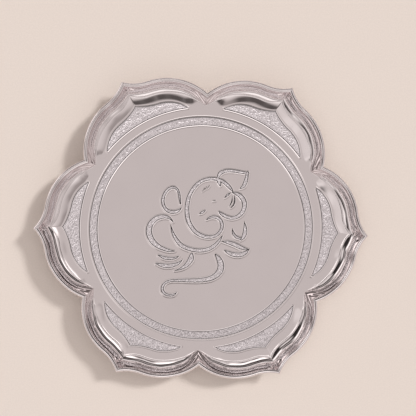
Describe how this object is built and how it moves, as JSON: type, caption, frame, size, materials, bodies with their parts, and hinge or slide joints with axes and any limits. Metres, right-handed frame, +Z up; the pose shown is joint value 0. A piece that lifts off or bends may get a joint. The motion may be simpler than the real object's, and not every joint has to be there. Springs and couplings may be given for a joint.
{
  "type": "puja thali",
  "caption": "Shallow lotus-shaped offering tray of polished plated sheet, with coved petal walls, a rounded rim, sunk stippled panels and an engraved elephant-headed figure.",
  "frame": {"origin": "centre of the underside of the base plate, on the tray's axis", "axes": "+Z up along the tray's axis, +X along one petal towards its tip, +Y towards the top of the figure"},
  "size_m": [0.254, 0.2282, 0.016],
  "materials": {
    "polished_plate": "polished plate with fine wiping marks",
    "stippled_plate": "bright plate with a fine stippled grain",
    "rim_plate": "polished plate, bright along the edge",
    "base_sheet": "plain satin plate"
  },
  "bodies": {
    "root": {"base_plate": "base_sheet", "petal_frame": "polished_plate", "stippled_ring": "stippled_plate", "centre_disc": "polished_plate", "petal_panel_1": "stippled_plate", "petal_panel_2": "stippled_plate", "petal_panel_3": "stippled_plate", "petal_panel_4": "stippled_plate", "petal_panel_5": "stippled_plate", "petal_panel_6": "stippled_plate", "petal_wall_1": "polished_plate", "petal_wall_2": "polished_plate", "petal_wall_3": "polished_plate", "petal_wall_4": "polished_plate", "petal_wall_5": "polished_plate", "petal_wall_6": "polished_plate", "rim_wire_1": "rim_plate", "rim_wire_2": "rim_plate", "rim_wire_3": "rim_plate", "rim_wire_4": "rim_plate", "rim_wire_5": "rim_plate", "rim_wire_6": "rim_plate"}
  },
  "joints": []
}
